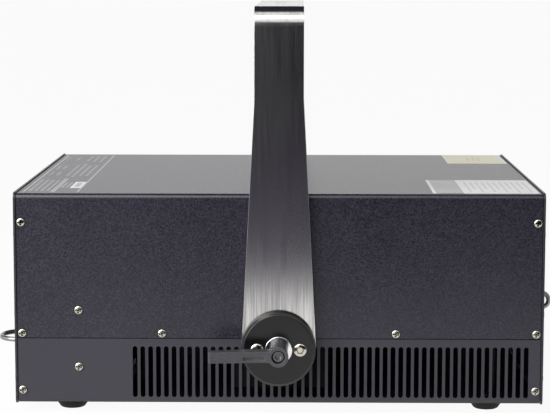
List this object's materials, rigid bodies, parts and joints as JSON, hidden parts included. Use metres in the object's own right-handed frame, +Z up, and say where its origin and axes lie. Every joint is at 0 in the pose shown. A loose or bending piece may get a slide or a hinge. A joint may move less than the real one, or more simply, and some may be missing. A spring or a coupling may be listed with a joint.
{
  "type": "fog machine",
  "caption": "Low sheet-metal fog machine housing with a nozzle, held in a flat-bar tilting yoke by clamp levers on both sides, on rubber feet.",
  "frame": {"origin": "on the floor, under the middle of the whole machine", "axes": "+X towards the nozzle end, -Y the long side with the first clamp lever, +Z up"},
  "size_m": [0.588, 0.534, 0.4005],
  "materials": {
    "cover_paint": "fine-textured blue-black powder coat",
    "tray_paint": "smooth satin charcoal powder coat",
    "bright_screws": "nickel-plated",
    "aluminium": "mill finish",
    "zinc_sheet": "zinc-plated steel sheet",
    "rubber": "matt black",
    "stud_steel": "zinc-plated",
    "yoke_steel": "brushed along the bar",
    "clamp_black": "satin black",
    "washer_chrome": "polished",
    "brass": "machined",
    "lever_zinc": "fine-textured black coating on a zinc casting",
    "dark_screw": "blackened",
    "heater_sheath": "heat-tinted",
    "insulation": "ceramic fibre board",
    "black_plastic": "moulded",
    "red_plastic": "moulded",
    "tank_plastic": "natural polyethylene",
    "pump_metal": "plated",
    "hose_plastic": "flexible tube",
    "board_green": "solder mask",
    "window_dark": "tinted acrylic",
    "button_grey": "moulded"
  },
  "bodies": {
    "housing": {"top_cover": "cover_paint", "bottom_tray": "tray_paint", "front_plate": "tray_paint", "rear_plate": "tray_paint", "corner_posts": "aluminium", "mid_deck": "aluminium", "deck_pillars": "zinc_sheet", "cover_screws": "bright_screws", "tray_screws": "bright_screws", "end_plate_screws": "bright_screws", "tie_bracket": "zinc_sheet", "rubber_feet": "rubber", "foot_screws": "bright_screws", "pivot_doublers": "tray_paint", "pivot_studs": "stud_steel", "spacer_rings": "zinc_sheet", "rear_loop": "stud_steel", "front_eye": "stud_steel", "heater_block": "aluminium", "heater_cartridges": "heater_sheath", "heater_insulation": "insulation", "heater_cradle": "zinc_sheet", "thermal_cutout": "black_plastic", "nozzle": "brass", "nozzle_guard": "tray_paint", "wiring_loom": "black_plastic", "fluid_tank": "tank_plastic", "filler_neck": "black_plastic", "fluid_pump": "pump_metal", "pump_bracket": "zinc_sheet", "fluid_hoses": "hose_plastic", "fan_frames": "black_plastic", "fan_bracket": "zinc_sheet", "power_supply": "aluminium", "control_board": "board_green", "display_window": "window_dark", "mains_inlet": "black_plastic", "power_switch_frame": "black_plastic", "fuse_holder": "black_plastic", "data_sockets": "pump_metal"},
    "yoke": {"yoke_bar": "yoke_steel", "clamp_plates": "clamp_black", "clamp_plate_screws": "bright_screws", "bright_washers": "washer_chrome"},
    "near_clamp_nut": {"near_lever_insert": "brass", "near_lever_screw": "dark_screw", "near_lever_spring": "bright_screws"},
    "near_lever": {"near_lever_handle": "lever_zinc"},
    "far_clamp_nut": {"far_lever_insert": "brass", "far_lever_screw": "dark_screw", "far_lever_spring": "bright_screws"},
    "far_lever": {"far_lever_handle": "lever_zinc"},
    "cap": {"filler_cap": "black_plastic"},
    "fan_1": {"fan_rotor_1": "black_plastic"},
    "fan_2": {"fan_rotor_2": "black_plastic"},
    "rocker": {"power_switch_rocker": "red_plastic"},
    "button_1": {"menu_button_1": "button_grey"},
    "button_2": {"menu_button_2": "button_grey"},
    "button_3": {"menu_button_3": "button_grey"},
    "button_4": {"menu_button_4": "button_grey"}
  },
  "joints": [
    {"name": "yoke_tilt", "type": "hinge", "parent": "housing", "child": "yoke", "pos_m": [0, 0, 0.0675], "axis": [0, 1, 0], "range_deg": [-95, 95]},
    {"name": "near_clamp_turn", "type": "hinge", "parent": "housing", "child": "near_clamp_nut", "pos_m": [0, -0.229, 0.0675], "axis": [0, -1, 0], "range_deg": [-60, 60]},
    {"name": "near_lever_lift", "type": "slide", "parent": "near_clamp_nut", "child": "near_lever", "axis": [0, -1, 0], "range_m": [0, 0.004], "stiffness_N_per_m": 1500, "springref_m": -0.002, "deforming": ["near_lever_spring"]},
    {"name": "far_clamp_turn", "type": "hinge", "parent": "housing", "child": "far_clamp_nut", "pos_m": [0, 0.229, 0.0675], "axis": [0, 1, 0], "range_deg": [-60, 60]},
    {"name": "far_lever_lift", "type": "slide", "parent": "far_clamp_nut", "child": "far_lever", "axis": [0, 1, 0], "range_m": [0, 0.004], "stiffness_N_per_m": 1500, "springref_m": -0.002, "deforming": ["far_lever_spring"]},
    {"name": "cap_turn", "type": "hinge", "parent": "housing", "child": "cap", "pos_m": [-0.26, 0.107, 0.171], "axis": [-1, 0, 0], "range_deg": [0, 90]},
    {"name": "fan_1_spin", "type": "hinge", "parent": "housing", "child": "fan_1", "pos_m": [0.08, 0.1915, 0.0435], "axis": [0, 1, 0], "continuous": true},
    {"name": "fan_2_spin", "type": "hinge", "parent": "housing", "child": "fan_2", "pos_m": [0.16, 0.1915, 0.0435], "axis": [0, 1, 0], "continuous": true},
    {"name": "rocker_tip", "type": "hinge", "parent": "housing", "child": "rocker", "pos_m": [-0.257, 0.104, 0.044], "axis": [0, 1, 0], "range_deg": [-14, 0]},
    {"name": "button_1_press", "type": "slide", "parent": "housing", "child": "button_1", "axis": [1, 0, 0], "range_m": [0, 0.0012], "stiffness_N_per_m": 400, "springref_m": -0.001},
    {"name": "button_2_press", "type": "slide", "parent": "housing", "child": "button_2", "axis": [1, 0, 0], "range_m": [0, 0.0012], "stiffness_N_per_m": 400, "springref_m": -0.001},
    {"name": "button_3_press", "type": "slide", "parent": "housing", "child": "button_3", "axis": [1, 0, 0], "range_m": [0, 0.0012], "stiffness_N_per_m": 400, "springref_m": -0.001},
    {"name": "button_4_press", "type": "slide", "parent": "housing", "child": "button_4", "axis": [1, 0, 0], "range_m": [0, 0.0012], "stiffness_N_per_m": 400, "springref_m": -0.001}
  ]
}
